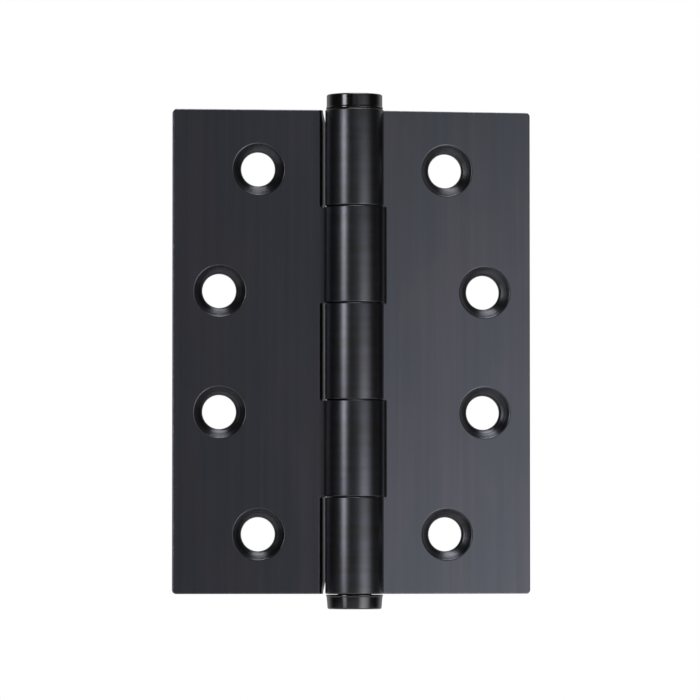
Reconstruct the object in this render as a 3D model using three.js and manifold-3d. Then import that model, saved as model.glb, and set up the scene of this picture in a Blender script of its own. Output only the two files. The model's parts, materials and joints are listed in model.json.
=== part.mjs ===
// Five-knuckle fixed-pin butt hinge for a door, laid open a few degrees past flat.
//
// Millimetres, +Z up along the pin. The origin is on the pin's axis at mid-height. The jamb's
// leaf lies along +X, the door's leaf along -X, and the countersunk faces look towards -Y.

import * as THREE from 'three';
import { mergeVertices } from 'three/addons/utils/BufferGeometryUtils.js';
import Module from 'manifold-3d';

const wasm = await Module();
wasm.setup();

// Driving dimensions
const LEAF_HEIGHT = 100;
const LEAF_WIDTH = 37.5; // pin's axis to a leaf's outer edge: 75 across both leaves
const LEAF_THICKNESS = 2.5;
const FACE_SETBACK = 0.875; // pin's axis to a countersunk face: half the gap when closed
const PAST_FLAT = THREE.MathUtils.degToRad(6); // how far the door's leaf lies open past flat
const OUTER_CORNER = 0.8; // radius of a leaf's two outer corners

const PIN_RADIUS = 3.5;
const RUNNING_CLEARANCE = 0.05; // on the radius, between pin and bore
const KNUCKLE_COUNT = 5;
const KNUCKLE_GAP = 0.25; // between the ends of two knuckles
const BARREL_CLEARANCE = 0.8; // from a knuckle to the notch in the other leaf
const NOTCH_CORNER = 0.5;
const SWAGE_RADIUS = 2.5; // the bend from a leaf's back face up to its knuckles
const CURL_SEAM = 0.3; // between the rolled strip's end and the countersunk face it comes back to

const SCREW_HOLE_RADIUS = 3.5;
const COUNTERSINK_RADIUS = 5.35; // at the face; the cone's full angle is 90 degrees
const SCREW_PLACES = [
  { across: 19.75, up: 37.7 },
  { across: 27.8, up: 12.5 },
  { across: 27.8, up: -12.5 },
  { across: 19.75, up: -37.7 },
];

const CAP_RADIUS = 5.75;
const CAP_HEIGHT = 2.85;
const CAP_CHAMFER = 0.3;
const SPIGOT_LENGTH = 4;
const BOTTOM_CAP_TAPER = 0.2; // how much smaller the bottom cap is at its end, on the radius

// Values that follow from them
const BORE_RADIUS = PIN_RADIUS + RUNNING_CLEARANCE;
const BARREL_RADIUS = BORE_RADIUS + LEAF_THICKNESS;
const KNUCKLE_PITCH = LEAF_HEIGHT / KNUCKLE_COUNT;
const NOTCH_EDGE = BARREL_RADIUS + BARREL_CLEARANCE;
const BACK_FACE = FACE_SETBACK + LEAF_THICKNESS;
const HALF_HEIGHT = LEAF_HEIGHT / 2;
// How far from the pin's axis the bend begins, so that it runs smoothly into the knuckle.
const SWAGE_PLACE = Math.sqrt(
  (BARREL_RADIUS + SWAGE_RADIUS) ** 2 - (BACK_FACE + SWAGE_RADIUS) ** 2,
);
const SPIGOT_END = HALF_HEIGHT - SPIGOT_LENGTH;

// How finely round shapes are cut into facets
const BARREL_FACETS = 72;
const HOLE_FACETS = 40;
const BEND_FACETS = 8;
const OVERCUT = 1; // how far a cutter reaches past the material it cuts

function toSolid(geometry) {
  const bare = geometry.clone();
  bare.deleteAttribute('normal');
  bare.deleteAttribute('uv');
  const merged = mergeVertices(bare);
  return new wasm.Manifold(new wasm.Mesh({
    numProp: 3,
    vertProperties: new Float32Array(merged.attributes.position.array),
    triVerts: new Uint32Array(merged.index.array),
  }));
}

function toGeometry(solid) {
  const mesh = solid.getMesh();
  const geometry = new THREE.BufferGeometry();
  geometry.setAttribute('position', new THREE.BufferAttribute(mesh.vertProperties, 3));
  geometry.setIndex(new THREE.BufferAttribute(mesh.triVerts, 1));
  geometry.computeVertexNormals();
  return geometry;
}

// Points along an arc, its ends included. An end angle below the start runs clockwise.
function arc(acrossCentre, upCentre, radius, start, end, facets) {
  const points = [];
  for (let i = 0; i <= facets; i += 1) {
    const angle = start + ((end - start) * i) / facets;
    const across = acrossCentre + radius * Math.cos(angle);
    const up = upCentre + radius * Math.sin(angle);
    points.push(new THREE.Vector2(across, up));
  }
  return points;
}

// A rectangle, across and up the leaf, whose two corners away from the pin are rounded.
function tongue(inner, outer, low, high, corner) {
  return new THREE.Shape([
    new THREE.Vector2(inner, low),
    ...arc(outer - corner, low + corner, corner, -Math.PI / 2, 0, BEND_FACETS),
    ...arc(outer - corner, high - corner, corner, 0, Math.PI / 2, BEND_FACETS),
    new THREE.Vector2(inner, high),
  ]);
}

// An outline drawn across and up the leaf, given the thickness between two Y values.
function upright(outline, front, back) {
  const settings = { depth: back - front, bevelEnabled: false };
  const geometry = new THREE.ExtrudeGeometry(outline, settings);
  geometry.rotateX(Math.PI / 2);
  geometry.translate(0, back, 0);
  return toSolid(geometry);
}

// Lower and upper end of a knuckle, counted from the bottom. The end knuckles reach the leaf's
// ends, and every other end stands back by half the gap.
function knuckleSpan(row) {
  const low = -HALF_HEIGHT + row * KNUCKLE_PITCH;
  const high = low + KNUCKLE_PITCH;
  return {
    low: row === 0 ? low : low + KNUCKLE_GAP / 2,
    high: row === KNUCKLE_COUNT - 1 ? high : high - KNUCKLE_GAP / 2,
  };
}

// The section of a knuckle: the leaf's strip bends back, then rolls once round the pin, and its
// end stops just short of the countersunk face.
function curlSection() {
  const bendHeight = BACK_FACE + SWAGE_RADIUS;
  const frontBend = SWAGE_RADIUS + LEAF_THICKNESS;
  const meeting = Math.acos(SWAGE_PLACE / (BARREL_RADIUS + SWAGE_RADIUS));
  const bendEnd = Math.PI + meeting;
  const down = Math.PI * 1.5;
  const tip = 2 * Math.PI + Math.asin((FACE_SETBACK - CURL_SEAM) / BARREL_RADIUS);

  return new THREE.Shape([
    new THREE.Vector2(NOTCH_EDGE + OVERCUT, FACE_SETBACK),
    ...arc(SWAGE_PLACE, bendHeight, frontBend, down, bendEnd, BEND_FACETS),
    ...arc(0, 0, BORE_RADIUS, meeting, tip, BARREL_FACETS).slice(1),
    ...arc(0, 0, BARREL_RADIUS, tip, meeting, BARREL_FACETS),
    ...arc(SWAGE_PLACE, bendHeight, SWAGE_RADIUS, bendEnd, down, BEND_FACETS).slice(1),
    new THREE.Vector2(NOTCH_EDGE + OVERCUT, BACK_FACE),
  ]);
}

function curl(row) {
  const { low, high } = knuckleSpan(row);
  const settings = { depth: high - low, bevelEnabled: false };
  const geometry = new THREE.ExtrudeGeometry(curlSection(), settings);
  geometry.translate(0, 0, low);
  return toSolid(geometry);
}

// The room that the other leaf's knuckle turns in.
function notch(row) {
  const low = row === 0 ? -HALF_HEIGHT - OVERCUT : knuckleSpan(row - 1).high;
  const high = row === KNUCKLE_COUNT - 1 ? HALF_HEIGHT + OVERCUT : knuckleSpan(row + 1).low;
  const outline = tongue(0, NOTCH_EDGE, low, high, NOTCH_CORNER);
  return upright(outline, FACE_SETBACK - OVERCUT, BACK_FACE + OVERCUT);
}

// A solid turned about the Z axis from [radius, height] pairs.
function turned(profile, facets) {
  const points = profile.map(([radius, height]) => new THREE.Vector2(radius, height));
  const geometry = new THREE.LatheGeometry(points, facets);
  geometry.rotateX(Math.PI / 2);
  return geometry;
}

// The cutter for one screw hole: a drill through the leaf and a cone that opens at its face.
function screwHole({ across, up }) {
  const coneDepth = COUNTERSINK_RADIUS - SCREW_HOLE_RADIUS;
  const cutter = turned([
    [0, -LEAF_THICKNESS - OVERCUT],
    [SCREW_HOLE_RADIUS, -LEAF_THICKNESS - OVERCUT],
    [SCREW_HOLE_RADIUS, -coneDepth],
    [COUNTERSINK_RADIUS + OVERCUT, OVERCUT],
    [0, OVERCUT],
  ], HOLE_FACETS);
  cutter.rotateX(Math.PI / 2);
  cutter.translate(across, FACE_SETBACK, up);
  return toSolid(cutter);
}

// A leaf lying along +X. rows are its own knuckles, counted from the bottom.
function leaf(rows) {
  const flatStart = (SWAGE_PLACE + NOTCH_EDGE - NOTCH_CORNER) / 2;
  const outline = tongue(flatStart, LEAF_WIDTH, -HALF_HEIGHT, HALF_HEIGHT, OUTER_CORNER);
  let body = upright(outline, FACE_SETBACK, BACK_FACE);
  for (let row = 0; row < KNUCKLE_COUNT; row += 1) {
    body = rows.includes(row) ? body.add(curl(row)) : body.subtract(notch(row));
  }
  for (const place of SCREW_PLACES) {
    body = body.subtract(screwHole(place));
  }
  return toGeometry(body);
}

// The plain pin stops short of both caps' spigots.
function hingePin() {
  const end = SPIGOT_END - KNUCKLE_GAP;
  const edge = CAP_CHAMFER;
  return turned([
    [0, -end],
    [PIN_RADIUS - edge, -end],
    [PIN_RADIUS, -end + edge],
    [PIN_RADIUS, end - edge],
    [PIN_RADIUS - edge, end],
    [0, end],
  ], BARREL_FACETS);
}

// A flat button whose spigot is pushed into the end knuckle's bore, made standing on that knuckle.
function cap(taper) {
  const base = HALF_HEIGHT + KNUCKLE_GAP;
  const end = base + CAP_HEIGHT;
  return turned([
    [0, SPIGOT_END],
    [PIN_RADIUS - CAP_CHAMFER, SPIGOT_END],
    [PIN_RADIUS, SPIGOT_END + CAP_CHAMFER],
    [PIN_RADIUS, base],
    [CAP_RADIUS, base],
    [CAP_RADIUS - taper, end - CAP_CHAMFER],
    [CAP_RADIUS - taper - CAP_CHAMFER, end],
    [0, end],
  ], BARREL_FACETS);
}

const blackLeaf = new THREE.MeshStandardMaterial({ color: 0x2d2d31, roughness: 0.38, metalness: 0.85 });
const blackCap = new THREE.MeshStandardMaterial({ color: 0x1d1d1f, roughness: 0.28, metalness: 0.85 });
const bareSteel = new THREE.MeshStandardMaterial({ color: 0xb4b6b8, roughness: 0.3, metalness: 1 });

function part(name, geometry, material) {
  const mesh = new THREE.Mesh(geometry, material);
  mesh.name = name;
  return mesh;
}

const hinge = new THREE.Group();
hinge.add(part('three_knuckle_leaf', leaf([0, 2, 4]), blackLeaf));
hinge.add(part('hinge_pin', hingePin(), bareSteel));
hinge.add(part('top_cap', cap(0), blackCap));

const bottomCap = part('bottom_cap', cap(BOTTOM_CAP_TAPER), blackCap);
bottomCap.rotation.y = Math.PI;
hinge.add(bottomCap);

// The door's leaf is turned end over end to lie along -X, then swung open past flat.
const twoKnuckleLeaf = part('two_knuckle_leaf', leaf([1, 3]), blackLeaf);
twoKnuckleLeaf.rotation.y = Math.PI;
const doorSide = new THREE.Group();
doorSide.rotation.z = -PAST_FLAT;
doorSide.add(twoKnuckleLeaf);
hinge.add(doorSide);

export default hinge;
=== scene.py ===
"""Looks for a black five-knuckle butt hinge with a fixed pin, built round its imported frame.

Lengths are metres. A leaf is made lying along +X from the pin's axis, with its countersunk face
towards -Y, and the door's leaf is then turned end over end and swung a little past flat.
"""

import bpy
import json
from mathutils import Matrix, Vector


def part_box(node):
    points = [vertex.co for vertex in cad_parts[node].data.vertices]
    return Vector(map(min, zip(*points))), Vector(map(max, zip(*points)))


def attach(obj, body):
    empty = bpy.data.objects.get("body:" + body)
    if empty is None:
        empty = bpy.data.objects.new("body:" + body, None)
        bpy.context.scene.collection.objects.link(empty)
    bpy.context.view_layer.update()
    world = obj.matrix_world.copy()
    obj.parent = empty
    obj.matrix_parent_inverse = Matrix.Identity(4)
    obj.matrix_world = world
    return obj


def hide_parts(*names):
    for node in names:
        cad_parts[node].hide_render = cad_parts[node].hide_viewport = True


bl_info = {
    "name": "Five-Knuckle Door Hinge",
    "version": (1, 0, 0),
    "blender": (4, 5, 0),
    "location": "View3D > Sidebar > Hinge",
    "description": "Builds a black butt hinge with rolled knuckles and countersunk screw holes",
    "category": "Add Mesh",
}

import json
import math

import bmesh
import bpy
from bpy.props import FloatProperty, FloatVectorProperty, PointerProperty
from mathutils import Matrix, Quaternion, Vector

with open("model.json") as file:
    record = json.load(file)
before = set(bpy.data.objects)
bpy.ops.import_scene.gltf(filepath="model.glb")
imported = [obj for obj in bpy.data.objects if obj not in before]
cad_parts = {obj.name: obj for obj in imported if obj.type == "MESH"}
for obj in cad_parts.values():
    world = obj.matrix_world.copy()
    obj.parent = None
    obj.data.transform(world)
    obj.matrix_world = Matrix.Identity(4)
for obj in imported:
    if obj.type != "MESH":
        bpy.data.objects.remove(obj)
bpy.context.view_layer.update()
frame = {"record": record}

MM = 0.001

# What the frame gives
leaf_low, leaf_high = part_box("three_knuckle_leaf")
cap_low, cap_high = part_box("top_cap")
pin_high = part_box("hinge_pin")[1]
seats = {mount["name"]: mount for mount in frame["record"]["mounts"]}
door_axis = seats["door_seat"]["axis"]

KNUCKLE_COUNT = 5
JAMB_ROWS = (0, 2, 4)  # the knuckles that are part of each leaf, counted from the bottom
DOOR_ROWS = (1, 3)
LEAF_WIDTH = leaf_high.x
HALF_HEIGHT = leaf_high.z
KNUCKLE_PITCH = 2 * HALF_HEIGHT / KNUCKLE_COUNT
BARREL_RADIUS = round(-leaf_low.x, 5)  # the frame's barrel is cut into facets
BACK_FACE = seats["jamb_seat"]["pos_m"][1]
PAST_FLAT = math.atan2(door_axis[0], door_axis[1])
PIN_RADIUS = pin_high.x
CAP_RADIUS = cap_high.x

# How finely round shapes are cut
BARREL_STEPS = 144
HOLE_STEPS = 96
TURNED_STEPS = 160
BEND_STEPS = 10
CORNER_STEPS = 12
ROLL_STEPS = 5
DISH_STEPS = 8
WELD = 1e-7  # points closer than this become one

# A leaf's materials, in the order of its faces' numbers
BRUSHED, ROLLED, COUNTERSUNK = range(3)


def screw_places():
    """Where the screw holes are on a leaf, across and up, from the openings in the record."""
    places = []
    for opening in frame["record"]["physics"]["openings"]:
        if opening["name"].startswith("jamb"):
            low, high = opening["box_m"]
            places.append(((low[0] + high[0]) / 2, (low[2] + high[2]) / 2))
    return places


def length(name, description, millimetres):
    """A property for a length, given in millimetres."""
    return FloatProperty(
        name=name,
        description=description,
        default=millimetres * MM,
        min=0,
        precision=5,
        unit="LENGTH",
        subtype="DISTANCE",
    )


def angle(name, description, degrees):
    """A property for an angle, given in degrees."""
    return FloatProperty(
        name=name, description=description, default=math.radians(degrees), min=0, subtype="ANGLE"
    )


def colour(name, description, value):
    """A property for a linear colour."""
    return FloatVectorProperty(
        name=name, description=description, default=value, size=3, min=0, max=1, subtype="COLOR"
    )


def share(name, description, value):
    """A property for a number from 0 to 1."""
    return FloatProperty(
        name=name, description=description, default=value, min=0, max=1, subtype="FACTOR"
    )


def brightness(name, description, value):
    """A property for a light's brightness. At 1 the panel itself would just look white."""
    return FloatProperty(name=name, description=description, default=value, min=0)


class HingeSizes(bpy.types.PropertyGroup):
    """Sizes that the frame's boxes don't give."""

    strip: length("Strip", "Thickness of the steel strip", 2.5)
    knuckle_gap: length("Knuckle Gap", "Gap between the ends of two knuckles", 0.06)
    jamb_clearance: length("Jamb Clearance", "Gap from a knuckle to the jamb's leaf", 0.8)
    door_clearance: length("Door Clearance", "Gap from a knuckle to the door's leaf", 0.65)
    notch_corner: length("Notch Corner", "Radius inside a notch's corners", 0.4)
    outer_corner: length("Outer Corner", "Radius of a leaf's outer corners", 0.8)
    swage: length("Swage", "Radius of the bend from a leaf's back up to its knuckles", 2.5)
    curl_seam: length("Curl Seam", "Gap between the rolled end and the countersunk face", 0.3)
    edge_roll: length("Edge Roll", "Rounding of a leaf's front edges", 0.25)
    jamb_notch_roll: length("Jamb Notch Roll", "Rounding beside the barrel, jamb's leaf", 0.15)
    door_notch_roll: length("Door Notch Roll", "Rounding beside the barrel, door's leaf", 0.65)
    knuckle_roll: length("Knuckle Roll", "Rounding of the knuckles' ends and the back edges", 0.3)
    tip_roll: length("Tip Roll", "Rounding of the rolled strip's end", 0.2)
    screw_hole: length("Screw Hole", "Radius of a screw hole", 3.5)
    countersink: length("Countersink", "Radius of a countersink at the face", 5.35)
    countersink_tilt: angle("Countersink Tilt", "Slope of a countersink at its rim", 50)
    throat_tilt: angle("Throat Tilt", "Slope of a countersink at the screw hole", 37)
    lean: length("Lean", "How far a notch's wall leans in round the barrel at the back", 1.0)
    lean_ease: length("Lean Ease", "How far from a leaf's end the wall has all its lean", 3.0)
    end_lean: share("End Lean", "How much of the lean there is at a leaf's end", 0.5)
    rim_roll: length("Rim Roll", "Rounding of a countersink's rim", 0.4)
    cap_gap: length("Cap Gap", "Gap between a cap and its knuckle", 0.15)
    cap_roll: length("Cap Roll", "Rounding of a cap's edges", 0.35)
    cap_lip: length("Cap Lip", "How far a cap's foot stands out", 0.12)
    cap_taper: length("Cap Taper", "How much smaller the bottom cap is at its end", 0.2)


class HingeFinish(bpy.types.PropertyGroup):
    """Colours and gloss of the coating and the bare pin."""

    leaf_black: colour("Leaf Black", "The leaves' satin black coating", (0.05, 0.0515, 0.062))
    knuckle_black: colour("Knuckle Black", "The coating on the rolled knuckles", (0.045, 0.045, 0.048))
    cap_black: colour("Cap Black", "The coating on the caps", (0.042, 0.042, 0.045))
    warm_tint: colour("Warm Tint", "The coating where it is thinner", (0.062, 0.058, 0.07))
    cool_tint: colour("Cool Tint", "The coating where it is thicker", (0.046, 0.053, 0.062))
    worn: colour("Worn Edge", "Where the coating is rubbed thin", (0.16, 0.16, 0.17))
    pin_steel: colour("Pin Steel", "Bare drawn steel", (0.46, 0.47, 0.48))
    leaf_roughness: share("Leaf Roughness", "How much the brushed faces spread a reflection", 0.3)
    knuckle_roughness: share("Knuckle Roughness", "The same for the rolled knuckles", 0.3)
    cap_roughness: share("Cap Roughness", "The same for the caps", 0.14)
    pin_roughness: share("Pin Roughness", "The same for the bare pin", 0.36)


class HingeStudio(bpy.types.PropertyGroup):
    """The stage that the hinge is shown on."""

    floor_grey: colour("Floor", "The plain floor", (0.8, 0.8, 0.8))
    floor_radius: length("Floor Radius", "How far the floor reaches", 2500)
    floor_drop: length("Floor Drop", "How far the floor is below the pin's middle", 600)
    floor_roughness: share("Floor Roughness", "How matt the floor is", 0.8)
    strip_light: brightness("Strip Light", "Brightness of the strip on the left", 5.6)
    soft_light: brightness("Soft Light", "Brightness of the panel on the right", 1.75)
    top_light: brightness("Top Light", "Brightness of the panel overhead", 7.0)
    floor_light: brightness("Floor Light", "Brightness of the floor's own light", 0.5)


# ---------------------------------------------------------------- shapes


def arc(across, up, radius, start, end, steps):
    """Points along an arc and their directions from its centre, its ends included."""
    centre = Vector((across, up))
    made = []
    for i in range(steps + 1):
        turn = start + (end - start) * i / steps
        outward = Vector((math.cos(turn), math.sin(turn)))
        made.append((centre + radius * outward, outward))
    return made


def knuckle_span(sizes, row):
    """Lower and upper end of a knuckle, counted from the bottom."""
    low = -HALF_HEIGHT + row * KNUCKLE_PITCH
    high = low + KNUCKLE_PITCH
    if row > 0:
        low += sizes.knuckle_gap / 2
    if row < KNUCKLE_COUNT - 1:
        high -= sizes.knuckle_gap / 2
    return low, high


def swage_place(sizes):
    """Where a leaf's flat ends and its strip starts to bend, so that it meets the barrel smoothly."""
    return math.sqrt((BARREL_RADIUS + sizes.swage) ** 2 - (BACK_FACE + sizes.swage) ** 2)


def quarter_turn():
    """The sine and cosine of each step of a rounding, from 0 to a right angle."""
    turns = [math.pi / 2 * i / ROLL_STEPS for i in range(ROLL_STEPS + 1)]
    return [(math.sin(turn), math.cos(turn)) for turn in turns]


def rim(sizes, roll, back_roll):
    """A strip's cut edge from front to back, with a rounding on each side.

    Each point is its depth, its inset from the edge, and the same two parts of its direction.
    """
    made = []
    for sine, cosine in quarter_turn():
        made.append((roll * (1 - cosine), roll * (1 - sine), -cosine, sine))
    for sine, cosine in quarter_turn():
        depth = sizes.strip - back_roll * (1 - sine)
        made.append((depth, back_roll * (1 - cosine), sine, cosine))
    return made


def smooth(done):
    """A share from 0 to 1, eased at both ends."""
    return done * done * (3 - 2 * done)


def edge_runs(sizes, rows, clearance, deep):
    """A leaf's cut edge seen from the front, in runs that end where its own knuckles begin.

    Each point is its place, across and up, the direction out of the leaf, its front rounding, and
    its share of the lean that a notch's wall has where it follows the barrel. deep is the front
    rounding in the notches.
    """
    notch = BARREL_RADIUS + clearance
    root = swage_place(sizes)
    corner = sizes.notch_corner
    outer = sizes.outer_corner
    plain = sizes.edge_roll

    def outer_corner(side):
        """The upper or the lower corner away from the pin."""
        start = min(0, side) * math.pi / 2
        centre = (LEAF_WIDTH - outer, side * (HALF_HEIGHT - outer))
        points = arc(*centre, outer, start, start + math.pi / 2, CORNER_STEPS)
        return [(place, out, plain, 0) for place, out in points]

    def knuckle_side(row, side):
        """Where a run starts or ends, on the upper or the lower side of a knuckle."""
        low, high = knuckle_span(sizes, row)
        return (Vector((root, high if side > 0 else low)), Vector((0, side)), plain, 0)

    def free_end(side):
        """A notch's wall near the upper or lower end of the leaf, where the notch is open."""
        end = side * HALF_HEIGHT
        made = [(Vector((notch + deep, end)), Vector((0, side)), plain, 0)]
        for i in range(CORNER_STEPS + 1):
            done = i / CORNER_STEPS
            place = Vector((notch, end - side * sizes.lean_ease * done))
            out = Vector((-1, 0 if i else side * plain / deep))
            made.append((place, out, deep, sizes.end_lean + (1 - sizes.end_lean) * smooth(done)))
        return made

    def notch_end(row, side):
        """The upper or lower end of a notch."""
        if row + side in (-1, KNUCKLE_COUNT):
            return free_end(side)
        start = knuckle_side(row + side, -side)
        middle = start[0].y - side * corner
        points = arc(notch - corner, middle, corner, side * math.pi / 2, 0, CORNER_STEPS)
        made = [start]
        for i, (place, inward) in enumerate(points):
            done = i / CORNER_STEPS
            roll = plain + (deep - plain) * done
            made.append((place, -inward, roll, smooth(min(1, 2 * done))))
        return made

    # Up the outer edge, then down the side with the knuckles, where each knuckle ends a run. What
    # is left at the bottom leads into the first run.
    runs = []
    run = outer_corner(-1) + outer_corner(1)
    for row in reversed(range(KNUCKLE_COUNT)):
        if row not in rows:
            run += notch_end(row, 1) + notch_end(row, -1)[::-1]
            continue
        if row == KNUCKLE_COUNT - 1:
            run.append(knuckle_side(row, 1))
        runs.append(run)
        run = [knuckle_side(row, -1)] if row == 0 else []
    runs[0] = run + runs[0]
    return runs


def bridge(mesh, loops, closed, finish):
    """Faces between neighbouring rows of vertices."""
    for first, second in zip(loops, loops[1:]):
        count = len(first)
        for i in range(count if closed else count - 1):
            j = (i + 1) % count
            face = mesh.faces.new((first[i], first[j], second[j], second[i]))
            face.material_index = finish
            face.smooth = True


def fill(mesh, loops):
    """A flat face inside the first loop of vertices, with the others as holes in it."""
    edges = []
    for loop in loops:
        for first, second in zip(loop, loop[1:] + loop[:1]):
            edges.append(mesh.edges.get((first, second)) or mesh.edges.new((first, second)))
    bmesh.ops.triangle_fill(mesh, use_beauty=True, use_dissolve=False, edges=edges)


def hole_profile(sizes):
    """Radius and depth down a countersunk hole, from the face to the back.

    The countersink is a little dished: steepest at its rim, and shallowest at the screw hole.
    """
    steep, shallow = sizes.countersink_tilt, sizes.throat_tilt
    roll, blunt = sizes.rim_roll, sizes.rim_roll / 2
    profile = []
    for i in range(ROLL_STEPS):
        tilt = steep * i / ROLL_STEPS
        radius = sizes.countersink + roll * (math.tan(steep / 2) - math.sin(tilt))
        profile.append((radius, roll * (1 - math.cos(tilt))))

    dish_top = sizes.countersink + roll * (math.tan(steep / 2) - math.sin(steep))
    depth = roll * (1 - math.cos(steep))
    throat = sizes.screw_hole + blunt
    dish = (dish_top - throat) / (math.sin(steep) - math.sin(shallow))
    for i in range(DISH_STEPS + 1):
        tilt = steep + (shallow - steep) * i / DISH_STEPS
        radius = throat + dish * (math.sin(tilt) - math.sin(shallow))
        profile.append((radius, depth + dish * (math.cos(tilt) - math.cos(steep))))

    profile.append((sizes.screw_hole, profile[-1][1] + 2 * blunt))
    for sine, cosine in quarter_turn():
        radius = sizes.screw_hole + blunt * (1 - cosine)
        profile.append((radius, sizes.strip - blunt * (1 - sine)))
    return profile


def add_hole(mesh, sizes, place, face):
    """A countersunk hole's wall. Returns its loops at the face and at the back."""
    across, up = place
    loops = []
    for radius, depth in hole_profile(sizes):
        ring = arc(across, up, radius, 0, 2 * math.pi, HOLE_STEPS)[:-1]
        places = [(point.x, face + depth, point.y) for point, _ in ring]
        loops.append([mesh.verts.new(place) for place in places])
    bridge(mesh, loops, True, COUNTERSUNK)
    return loops[0], loops[-1]


def strip_path(sizes):
    """The strip's front side from the leaf's flat round the pin, with the directions to its back."""
    bore = BARREL_RADIUS - sizes.strip
    bend = sizes.swage + sizes.strip
    place = swage_place(sizes)
    meeting = math.acos(place / (BARREL_RADIUS + sizes.swage))
    face = BACK_FACE - sizes.strip
    tip = 2 * math.pi + math.asin((face - sizes.curl_seam) / BARREL_RADIUS)
    start, end = math.pi * 1.5, math.pi + meeting
    swage = arc(place, BACK_FACE + sizes.swage, bend, start, end, BEND_STEPS)
    path = [(point, -outward) for point, outward in swage]
    return path + arc(0, 0, bore, meeting, tip, BARREL_STEPS)[1:]


def add_knuckle(mesh, sizes, row):
    """A knuckle: the strip's section carried along its path, with a rounded end."""
    low, high = knuckle_span(sizes, row)
    edge = rim(sizes, sizes.edge_roll, sizes.knuckle_roll)
    section = [(depth, low + inset, down, -out) for depth, inset, down, out in edge]
    section += [(depth, high - inset, down, out) for depth, inset, down, out in reversed(edge)]

    # The path gains a third value: how far the section shrinks, which rounds the strip's end
    path = [(point, outward, 0) for point, outward in strip_path(sizes)]
    tip, outward, _ = path.pop()
    along = Vector((-outward.y, outward.x))
    while (tip - path[-1][0]).length <= sizes.tip_roll:
        path.pop()
    for sine, cosine in quarter_turn():
        back = sizes.tip_roll * (1 - sine)
        path.append((tip - along * back, outward, sizes.tip_roll * (1 - cosine)))

    loops = []
    for point, outward, inset in path:
        loop = []
        for depth, up, down, out in section:
            place = point + outward * (depth - down * inset)
            loop.append(mesh.verts.new((place.x, place.y, up - out * inset)))
        loops.append(loop)
    bridge(mesh, loops, True, ROLLED)
    mesh.faces.new(loops[-1]).material_index = ROLLED


def add_edge(mesh, sizes, run, face):
    """The wall of one run of a leaf's cut edge. Returns its rows at the face and at the back."""
    sections = [rim(sizes, roll, sizes.knuckle_roll) for _, _, roll, _ in run]
    loops = []
    for level in range(len(sections[0])):
        loop = []
        for (place, out, _, lean), section in zip(run, sections):
            depth, inset = section[level][:2]
            moved = place - out * inset
            leant = sizes.lean * lean * smooth(depth / sizes.strip)
            loop.append(mesh.verts.new((moved.x - leant, face + depth, moved.y)))
        loops.append(loop)
    bridge(mesh, loops, False, BRUSHED)
    return loops[0], loops[-1]


def leaf_mesh(sizes, rows, clearance, notch_roll):
    """A whole leaf along +X, whose own knuckles are these rows, counted from the bottom."""
    face = BACK_FACE - sizes.strip
    mesh = bmesh.new()
    front, back = [], []
    for run in edge_runs(sizes, rows, clearance, notch_roll):
        at_face, at_back = add_edge(mesh, sizes, run, face)
        front += at_face
        back += at_back
    holes = [add_hole(mesh, sizes, place, face) for place in screw_places()]
    fill(mesh, [front] + [hole[0] for hole in holes])
    fill(mesh, [back] + [hole[1] for hole in holes])
    for row in rows:
        add_knuckle(mesh, sizes, row)
    bmesh.ops.remove_doubles(mesh, verts=mesh.verts, dist=WELD)
    return mesh


def rounded(corners):
    """A turned profile with its corners rounded. Each corner is a radius, a height and a rounding."""
    made = [Vector(corners[0][:2])]
    for before, corner, after in zip(corners, corners[1:], corners[2:]):
        place = Vector(corner[:2])
        there = (Vector(before[:2]) - place).normalized()
        onward = (Vector(after[:2]) - place).normalized()
        half = there.angle(onward) / 2
        middle = (there + onward).normalized()
        centre = place + middle * (corner[2] / math.sin(half))
        reach = corner[2] / math.tan(half)
        first = place + there * reach - centre
        last = place + onward * reach - centre
        for i in range(ROLL_STEPS + 1):
            between = first.lerp(last, i / ROLL_STEPS)
            made.append(centre + between.normalized() * corner[2])
    made.append(Vector(corners[-1][:2]))
    return made


def turned_mesh(profile):
    """A closed shape turned about the Z axis from a profile that starts and ends on it."""
    mesh = bmesh.new()
    loops = []
    for point in profile[1:-1]:
        ring = arc(0, 0, point.x, 0, 2 * math.pi, TURNED_STEPS)[:-1]
        loops.append([mesh.verts.new((place.x, place.y, point.y)) for place, _ in ring])
    bridge(mesh, loops, True, 0)
    for end, loop in ((profile[0], loops[0]), (profile[-1], loops[-1])):
        middle = mesh.verts.new((0, 0, end.y))
        for first, second in zip(loop, loop[1:] + loop[:1]):
            mesh.faces.new((first, second, middle))
    bmesh.ops.remove_doubles(mesh, verts=mesh.verts, dist=WELD)
    return mesh


def cap_mesh(sizes, taper):
    """A cap that stands on the top knuckle, with its spigot below."""
    base = HALF_HEIGHT + sizes.cap_gap
    roll, lip = sizes.cap_roll, sizes.cap_lip
    return turned_mesh(rounded([
        (0, cap_low.z, 0),
        (PIN_RADIUS, cap_low.z, roll),
        (PIN_RADIUS, base, roll / 4),
        (CAP_RADIUS + lip, base, lip / 2),
        (CAP_RADIUS + lip, base + 2 * lip, lip / 2),
        (CAP_RADIUS, base + 4 * lip, lip),
        (CAP_RADIUS - taper, cap_high.z, roll),
        (0, cap_high.z, 0),
    ]))


def pin_mesh(sizes):
    """The plain pin, with broken edges."""
    return turned_mesh(rounded([
        (0, -pin_high.z, 0),
        (PIN_RADIUS, -pin_high.z, sizes.cap_roll),
        (PIN_RADIUS, pin_high.z, sizes.cap_roll),
        (0, pin_high.z, 0),
    ]))


def leaf_materials(finish, swing):
    """A leaf's materials, in the order of its faces' numbers. swing is how far it is turned."""
    return [brushed_black(finish, swing), rolled_black(finish), countersunk_black(finish, swing)]


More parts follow.
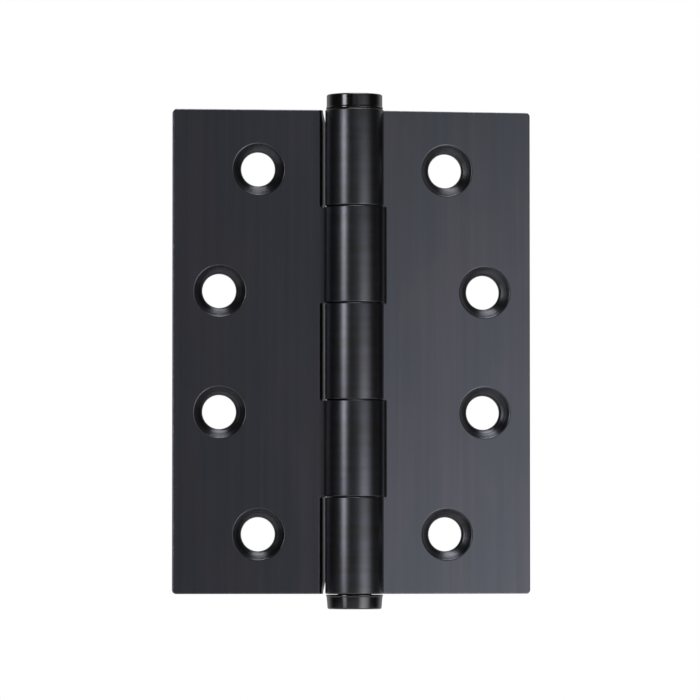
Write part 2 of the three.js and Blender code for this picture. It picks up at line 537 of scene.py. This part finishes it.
def place_piece(name, mesh, materials, matrix, body, node):
    """Makes a piece of the hinge from a mesh, moved into its place in the frame.

    Flat faces are shaded flat, and a rounding that runs into one takes its direction there.
    """
    mesh.normal_update()
    bmesh.ops.recalc_face_normals(mesh, faces=mesh.faces)
    mesh.transform(matrix)
    mesh.normal_update()
    normals = []
    for vertex in mesh.verts:
        flat = [face.normal for face in vertex.link_faces if not face.smooth]
        normals.append(tuple(flat[0] if flat else vertex.normal))
    data = bpy.data.meshes.new(name)
    mesh.to_mesh(data)
    mesh.free()
    data.normals_split_custom_set_from_vertices(normals)
    for material in materials:
        data.materials.append(material)
    piece = bpy.data.objects.new(name, data)
    bpy.context.scene.collection.objects.link(piece)
    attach(piece, body)
    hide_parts(node)


# ---------------------------------------------------------------- finishes

# How deep the marks of each way of working the metal are
BRUSHING_DEPTH = 0.0006 * MM
ROLLING_DEPTH = 0.0005 * MM
COUNTERSINKING_DEPTH = 0.02 * MM
TURNING_DEPTH = 0.0004 * MM
DRAWING_DEPTH = 0.001 * MM

# The band along a leaf's edges where the coating is worn
WEAR_START = 0.05 * MM
WEAR_END = 0.35 * MM

FINE, FINEST = 3.0, 4.0  # the detail of the noises whose features are small


class Wire:
    """A socket that can stand in an expression, which adds the Math nodes that work it out."""

    def __init__(self, graph, socket):
        self.graph = graph
        self.socket = socket

    def maths(self, operation, first, second=0.0):
        """The result of a Math node."""
        values = {"Value": first, "Value_001": second}
        return self.graph.add("ShaderNodeMath", {"operation": operation}, values)["Value"]

    def __add__(self, other):
        return self.maths("ADD", self, other)

    def __sub__(self, other):
        return self.maths("SUBTRACT", self, other)

    def __rsub__(self, other):
        return self.maths("SUBTRACT", other, self)

    def __mul__(self, other):
        return self.maths("MULTIPLY", self, other)

    def __abs__(self):
        return self.maths("ABSOLUTE", self)

    def least(self, other):
        """The smaller of two values."""
        return self.maths("MINIMUM", self, other)

    def most(self, other):
        """The larger of two values."""
        return self.maths("MAXIMUM", self, other)

    __radd__ = __add__
    __rmul__ = __mul__


class Graph:
    """The nodes of one material, light or world."""

    def __init__(self, tree):
        self.tree = tree
        tree.nodes.clear()

    def add(self, kind, settings=None, values=None):
        """Adds a node, with its settings first and then its sockets. Returns its outputs by name."""
        node = self.tree.nodes.new(kind)
        for name, setting in (settings or {}).items():
            setattr(node, name, setting)
        sockets = {socket.identifier: socket for socket in node.inputs}
        for name, value in (values or {}).items():
            if isinstance(value, Wire):
                self.tree.links.new(value.socket, sockets[name])
            else:
                sockets[name].default_value = value
        return {socket.identifier: Wire(self, socket) for socket in node.outputs}

    def place(self, swing=0.0):
        """The place on the piece, in metres, with the piece swung back by an angle about the pin."""
        place = self.add("ShaderNodeTexCoord")["Object"]
        settings = {"rotation_type": "Z_AXIS"}
        return self.add("ShaderNodeVectorRotate", settings, {"Vector": place, "Angle": swing})["Vector"]

    def parts(self, vector):
        """The three parts of a vector."""
        made = self.add("ShaderNodeSeparateXYZ", {}, {"Vector": vector})
        return made["X"], made["Y"], made["Z"]

    def noise(self, vector, x, y, z, detail=2.0):
        """Smooth noise about 0.5 whose features have these sizes along each axis, in millimetres."""
        scale = (1 / (x * MM), 1 / (y * MM), 1 / (z * MM))
        values = {"Vector": vector, "Vector_001": scale}
        scaled = self.add("ShaderNodeVectorMath", {"operation": "MULTIPLY"}, values)["Vector"]
        values = {"Vector": scaled, "Scale": 1.0, "Detail": detail, "Roughness": 0.55}
        return self.add("ShaderNodeTexNoise", {}, values)["Fac"]

    def step(self, value, low, high):
        """A smooth step from 0 at one value to 1 at another."""
        settings = {"interpolation_type": "SMOOTHSTEP"}
        values = {"Value": value, "From Min": low, "From Max": high}
        return self.add("ShaderNodeMapRange", settings, values)["Result"]

    def mixed(self, factor, first, second):
        """A mix of two colours, each a property or a wire."""
        colours = [value if isinstance(value, Wire) else (*value, 1.0) for value in (first, second)]
        values = {"Factor_Float": factor, "A_Color": colours[0], "B_Color": colours[1]}
        return self.add("ShaderNodeMix", {"data_type": "RGBA"}, values)["Result_Color"]

    def shaded(self, base, value):
        """A colour made darker or lighter by a value about 1."""
        values = {"Vector": base, "Scale": value}
        return self.add("ShaderNodeVectorMath", {"operation": "SCALE"}, values)["Vector"]


def metal_material(name, build):
    """A bare or coated metal. build gives base colour, roughness, height and the height's depth."""
    material = bpy.data.materials.new(name)
    material.use_nodes = True
    graph = Graph(material.node_tree)
    base, roughness, height, depth = build(graph)
    bump = graph.add("ShaderNodeBump", {}, {"Strength": 1.0, "Distance": depth, "Height": height})
    surface = graph.add("ShaderNodeBsdfPrincipled", {}, {
        "Base Color": base,
        "Roughness": roughness,
        "Metallic": 1.0,
        "Normal": bump["Normal"],
    })
    graph.add("ShaderNodeOutputMaterial", {}, {"Surface": surface["BSDF"]})
    return material


def brushed_black(finish, swing):
    """The leaves: brushed lengthways under a thin satin coating, a little worn at the edges."""

    def build(graph):
        place = graph.place(swing)
        across, _, up = graph.parts(place)
        fine = graph.noise(place, 0.16, 0.16, 16, FINE)
        broad = graph.noise(place, 1.2, 1.2, 70)
        cloud = graph.noise(place, 12, 12, 35)
        mottle = graph.noise(place, 0.9, 0.9, 1.6, FINE)
        tint = graph.mixed(graph.step(cloud, 0.3, 0.7), finish.cool_tint, finish.warm_tint)
        plain = graph.mixed(0.5, tint, finish.leaf_black)
        streaked = graph.shaded(plain, 0.8 + broad * 0.25 + fine * 0.15)
        edge = (LEAF_WIDTH - abs(across)).least(HALF_HEIGHT - abs(up))
        near = 1 - graph.step(edge, WEAR_START, WEAR_END)
        rubbed = near * graph.step(mottle, 0.5, 0.72) * 0.5
        base = graph.mixed(rubbed, streaked, finish.worn)
        roughness = finish.leaf_roughness - 0.05 + fine * 0.06 + mottle * 0.04
        return base, roughness, fine + broad * 0.8 + mottle * 0.2, BRUSHING_DEPTH

    return metal_material("brushed_black", build)


def rolled_black(finish):
    """The knuckles: not brushed, with faint lines round them from the roll."""

    def build(graph):
        place = graph.place()
        lines = graph.noise(place, 9, 9, 0.14, FINE)
        bands = graph.noise(place, 14, 14, 1.6)
        mottle = graph.noise(place, 1.3, 1.3, 2.0, FINE)
        base = graph.mixed(graph.step(bands, 0.3, 0.7), finish.knuckle_black, finish.leaf_black)
        base = graph.shaded(base, 0.9 + mottle * 0.2)
        roughness = finish.knuckle_roughness - 0.05 + lines * 0.06 + mottle * 0.04
        return base, roughness, lines + mottle * 0.5, ROLLING_DEPTH

    return metal_material("rolled_black", build)


def countersunk_black(finish, swing):
    """The countersinks: rings left by the tool, which change with depth and run round the hole."""

    def build(graph):
        place = graph.place(swing)
        rings = graph.noise(place, 12, 0.34, 12, FINEST)
        bands = graph.noise(place, 20, 0.4, 20)
        mottle = graph.noise(place, 0.8, 0.8, 0.8)
        base = graph.mixed(graph.step(bands, 0.35, 0.65), finish.cap_black, finish.leaf_black)
        base = graph.shaded(base, 0.2 + rings * 1.6)
        roughness = finish.knuckle_roughness - 0.06 + rings * 0.08 + mottle * 0.04
        return base, roughness, rings + mottle * 0.1, COUNTERSINKING_DEPTH

    return metal_material("countersunk_black", build)


def turned_black(finish):
    """The caps: turned, so fine lines run round their sides."""

    def build(graph):
        place = graph.place()
        lines = graph.noise(place, 10, 10, 0.12, FINE)
        bands = graph.noise(place, 12, 12, 0.8)
        mottle = graph.noise(place, 1.0, 1.0, 1.0, FINE)
        base = graph.mixed(graph.step(bands, 0.3, 0.7), finish.cap_black, finish.knuckle_black)
        base = graph.shaded(base, 0.9 + mottle * 0.2)
        roughness = finish.cap_roughness - 0.03 + lines * 0.04 + mottle * 0.03
        return base, roughness, lines + mottle * 0.3, TURNING_DEPTH

    return metal_material("turned_black", build)


def drawn_steel(finish):
    """The pin: bare steel with die marks along it and a dull film of grease."""

    def build(graph):
        place = graph.place()
        marks = graph.noise(place, 0.2, 0.2, 30, FINE)
        film = graph.noise(place, 3, 3, 6)
        greasy = graph.step(film, 0.45, 0.7) * 0.6
        base = graph.mixed(greasy, finish.pin_steel, finish.knuckle_black)
        base = graph.shaded(base, 0.9 + marks * 0.2)
        roughness = finish.pin_roughness - 0.1 + marks * 0.1 + film * 0.1
        return base, roughness, marks, DRAWING_DEPTH

    return metal_material("drawn_steel", build)


def floor_material(studio):
    """A plain pale matt floor with a very faint mottling."""
    material = bpy.data.materials.new("pale_floor")
    material.use_nodes = True
    graph = Graph(material.node_tree)
    mottle = graph.noise(graph.place(), 40, 40, 40)
    darker = [part * 0.97 for part in studio.floor_grey]
    surface = graph.add("ShaderNodeBsdfPrincipled", {}, {
        "Base Color": graph.mixed(mottle, studio.floor_grey, darker),
        "Roughness": studio.floor_roughness,
        "Specular IOR Level": 0.2,
    })
    graph.add("ShaderNodeOutputMaterial", {}, {"Surface": surface["BSDF"]})
    return material


# ---------------------------------------------------------------- stage

# Where the camera stands, and how far its line of sight passes from the hinge's middle
VIEW_AZIMUTH = math.radians(-11.81)
VIEW_ELEVATION = math.radians(-1.98)
VIEW_DISTANCE = 1151.9 * MM
AIM_RIGHT = -0.935 * MM
AIM_UP = 0.318 * MM
LENS = 287.0  # focal length in millimetres
NEAREST = 0.05
FARTHEST = 50

PANEL_ENERGY = 4  # the watts a square metre that give a panel the brightness its nodes emit


def direction(azimuth, elevation):
    """The way from the hinge to a viewer or a light. Azimuth 0 is -Y, and a right angle is +X."""
    flat = math.cos(elevation)
    return Vector((math.sin(azimuth) * flat, -math.cos(azimuth) * flat, math.sin(elevation)))


def aim_camera():
    """The camera, a little left of the jamb leaf's face and a little below the middle."""
    away = direction(VIEW_AZIMUTH, VIEW_ELEVATION)
    turn = (-away).to_track_quat("-Z", "Y")
    right, up = turn @ Vector((1, 0, 0)), turn @ Vector((0, 1, 0))
    data = bpy.data.cameras.new("camera")
    data.lens = LENS
    data.clip_start = NEAREST
    data.clip_end = FARTHEST
    camera = bpy.data.objects.new("camera", data)
    camera.location = away * VIEW_DISTANCE + right * AIM_RIGHT + up * AIM_UP
    camera.rotation_mode = "QUATERNION"
    camera.rotation_quaternion = turn
    bpy.context.scene.collection.objects.link(camera)
    bpy.context.scene.camera = camera


def panel_light(name, place, turn, width, height):
    """A rectangular light that the camera doesn't see, whose brightness is its emission's strength.

    Returns the graph of its nodes, which is still empty.
    """
    data = bpy.data.lights.new(name, "AREA")
    data.shape = "RECTANGLE"
    data.size, data.size_y = width, height
    data.energy = PANEL_ENERGY * width * height
    data.use_nodes = True
    light = bpy.data.objects.new(name, data)
    light.location = place
    light.rotation_mode = "QUATERNION"
    light.rotation_quaternion = turn
    light.visible_camera = False
    bpy.context.scene.collection.objects.link(light)
    return Graph(data.node_tree)


def emit(graph, strength):
    """Makes a light's nodes give off this much light, a number or a wire."""
    emission = graph.add("ShaderNodeEmission", {}, {"Strength": strength})
    graph.add("ShaderNodeOutputLight", {}, {"Surface": emission["Emission"]})


def share_along(graph, place, axis, size):
    """How far along a panel a point of it is, from 0 to 1, for a panel in this place."""
    spot = graph.add("ShaderNodeNewGeometry")["Position"]
    values = {"Vector": spot, "Vector_001": axis / size}
    along = graph.add("ShaderNodeVectorMath", {"operation": "DOT_PRODUCT"}, values)["Value"]
    return along - axis.dot(place) / size + 0.5


def add_light(name, strength, right, above, distance, width, height, fade=None):
    """A panel facing the hinge, this many degrees right of the camera and above the horizon.

    fade gives its brightness from nodes for how far across and up it is, each from 0 to 1.
    """
    away = direction(VIEW_AZIMUTH + math.radians(right), math.radians(above))
    place = away * distance
    turn = (-away).to_track_quat("-Z", "Y")
    graph = panel_light(name, place, turn, width, height)
    if fade:
        across = share_along(graph, place, turn @ Vector((1, 0, 0)), width)
        up = share_along(graph, place, turn @ Vector((0, 1, 0)), height)
        strength = fade(graph, across, up) * strength
    emit(graph, strength)


def add_lights(studio):
    """A strip to the left, a fading panel to the right, one overhead and one for the floor alone."""

    def soft_edges(graph, across, up):
        """Brightest near the middle. The left part is dim and fades downwards, the rest upwards."""
        rise = graph.step(across, 0.24, 0.55) * 0.89 + 0.11
        fall = 1 - graph.step(across, 0.55, 1.0)
        slope = graph.step(across, 0.25, 0.45) * -6.0 + 2.4
        return rise * fall * (1 + (up - 0.5) * slope).most(0.1)

    def brighter_up(graph, across, up):
        """Fading downwards."""
        return (1 + (up - 0.5) * 1.5).most(0.1)

    add_light(
        "strip_light", studio.strip_light, right=-42, above=0,
        distance=0.8, width=0.21, height=0.6, fade=brighter_up,
    )
    add_light(
        "soft_light", studio.soft_light, right=33, above=0,
        distance=0.4, width=0.67, height=0.7, fade=soft_edges,
    )
    add_light(
        "top_light", studio.top_light, right=62, above=82,
        distance=0.8, width=0.6, height=0.5,
    )
    below = Vector((0, 0, -studio.floor_drop / 4))
    across = 2 * studio.floor_radius
    emit(panel_light("floor_light", below, Quaternion(), across, across), studio.floor_light)


def add_surroundings():
    """White to the camera. In reflections the side behind the camera is dark and the far side bright,
    though less so straight behind the hinge.
    """
    world = bpy.data.worlds.new("studio")
    bpy.context.scene.world = world
    world.use_nodes = True
    graph = Graph(world.node_tree)
    towards = graph.add("ShaderNodeTexCoord")["Generated"]
    across, back, _ = graph.parts(towards)
    away = direction(VIEW_AZIMUTH, 0)
    behind = across * -away.x + back * -away.y
    far_side = graph.step(behind, 0.15, 0.85)
    straight_behind = graph.step(behind, 0.6, 1.0)
    glow = far_side * (0.9 - straight_behind * 0.65) + 0.08
    seen = graph.add("ShaderNodeLightPath")["Is Camera Ray"]
    strength = seen + (1 - seen) * glow
    light = graph.add("ShaderNodeBackground", {}, {"Strength": strength, "Color": (1, 1, 1, 1)})
    graph.add("ShaderNodeOutputWorld", {}, {"Surface": light["Background"]})


# ---------------------------------------------------------------- operators


class HINGE_OT_jamb_leaf(bpy.types.Operator):
    """Build the jamb's leaf, rolled into the first, third and fifth knuckles"""

    bl_idname = "hinge.jamb_leaf"
    bl_label = "Jamb's Leaf"

    def execute(self, context):
        sizes = context.scene.hinge_sizes
        mesh = leaf_mesh(sizes, JAMB_ROWS, sizes.jamb_clearance, sizes.jamb_notch_roll)
        place_piece(
            "jamb_leaf_brushed", mesh, leaf_materials(context.scene.hinge_finish, 0),
            Matrix.Identity(4), "jamb_leaf", "three_knuckle_leaf",
        )
        return {"FINISHED"}


class HINGE_OT_door_leaf(bpy.types.Operator):
    """Build the door's leaf, rolled into the second and fourth knuckles"""

    bl_idname = "hinge.door_leaf"
    bl_label = "Door's Leaf"

    def execute(self, context):
        sizes = context.scene.hinge_sizes
        mesh = leaf_mesh(sizes, DOOR_ROWS, sizes.door_clearance, sizes.door_notch_roll)
        turned = Matrix.Rotation(-PAST_FLAT, 4, "Z") @ Matrix.Rotation(math.pi, 4, "Y")
        place_piece(
            "door_leaf_brushed", mesh, leaf_materials(context.scene.hinge_finish, PAST_FLAT),
            turned, "door_leaf", "two_knuckle_leaf",
        )
        return {"FINISHED"}


class HINGE_OT_caps(bpy.types.Operator):
    """Build the two flat caps, pushed into the end knuckles"""

    bl_idname = "hinge.caps"
    bl_label = "Caps"

    def execute(self, context):
        sizes = context.scene.hinge_sizes
        material = turned_black(context.scene.hinge_finish)
        over = Matrix.Rotation(math.pi, 4, "Y")
        place_piece(
            "top_cap_turned", cap_mesh(sizes, 0), [material],
            Matrix.Identity(4), "jamb_leaf", "top_cap",
        )
        place_piece(
            "bottom_cap_turned", cap_mesh(sizes, sizes.cap_taper), [material],
            over, "jamb_leaf", "bottom_cap",
        )
        return {"FINISHED"}


class HINGE_OT_pin(bpy.types.Operator):
    """Build the plain steel pin"""

    bl_idname = "hinge.pin"
    bl_label = "Pin"

    def execute(self, context):
        place_piece(
            "hinge_pin_drawn", pin_mesh(context.scene.hinge_sizes),
            [drawn_steel(context.scene.hinge_finish)],
            Matrix.Identity(4), "jamb_leaf", "hinge_pin",
        )
        return {"FINISHED"}


class HINGE_OT_stage(bpy.types.Operator):
    """Set up the floor, the lights, the surroundings and the camera"""

    bl_idname = "hinge.stage"
    bl_label = "Stage"

    def execute(self, context):
        studio = context.scene.hinge_studio
        data = bpy.data.meshes.new("floor")
        mesh = bmesh.new()
        bmesh.ops.create_circle(mesh, cap_ends=True, segments=64, radius=studio.floor_radius)
        mesh.to_mesh(data)
        mesh.free()
        data.materials.append(floor_material(studio))
        floor = bpy.data.objects.new("floor", data)
        floor.location.z = -studio.floor_drop
        context.scene.collection.objects.link(floor)
        add_lights(studio)
        add_surroundings()
        aim_camera()
        context.scene.view_settings.view_transform = "Standard"
        return {"FINISHED"}


class HINGE_PT_sidebar(bpy.types.Panel):
    """The hinge's pieces, sizes and finish in the sidebar"""

    bl_idname = "HINGE_PT_sidebar"
    bl_label = "Door Hinge"
    bl_space_type = "VIEW_3D"
    bl_region_type = "UI"
    bl_category = "Hinge"

    def draw(self, context):
        layout = self.layout
        for operator in OPERATORS:
            layout.operator(operator.bl_idname)
        for name, group in GROUPS.items():
            layout.label(text=group.bl_rna.name)
            values = getattr(context.scene, name)
            for entry in group.__annotations__:
                layout.prop(values, entry)


GROUPS = {"hinge_sizes": HingeSizes, "hinge_finish": HingeFinish, "hinge_studio": HingeStudio}
OPERATORS = (
    HINGE_OT_jamb_leaf,
    HINGE_OT_door_leaf,
    HINGE_OT_caps,
    HINGE_OT_pin,
    HINGE_OT_stage,
)


def register():
    """Adds the classes to Blender, and the property groups to the scene."""
    for kind in (*GROUPS.values(), *OPERATORS, HINGE_PT_sidebar):
        bpy.utils.register_class(kind)
    for name, group in GROUPS.items():
        setattr(bpy.types.Scene, name, PointerProperty(type=group))


def unregister():
    """Takes them out again."""
    for name in GROUPS:
        delattr(bpy.types.Scene, name)
    for kind in reversed((*GROUPS.values(), *OPERATORS, HINGE_PT_sidebar)):
        bpy.utils.unregister_class(kind)


def main():
    """Builds the hinge and its stage."""
    register()
    bpy.ops.hinge.jamb_leaf()
    bpy.ops.hinge.door_leaf()
    bpy.ops.hinge.caps()
    bpy.ops.hinge.pin()
    bpy.ops.hinge.stage()


if __name__ == "__main__":
    main()
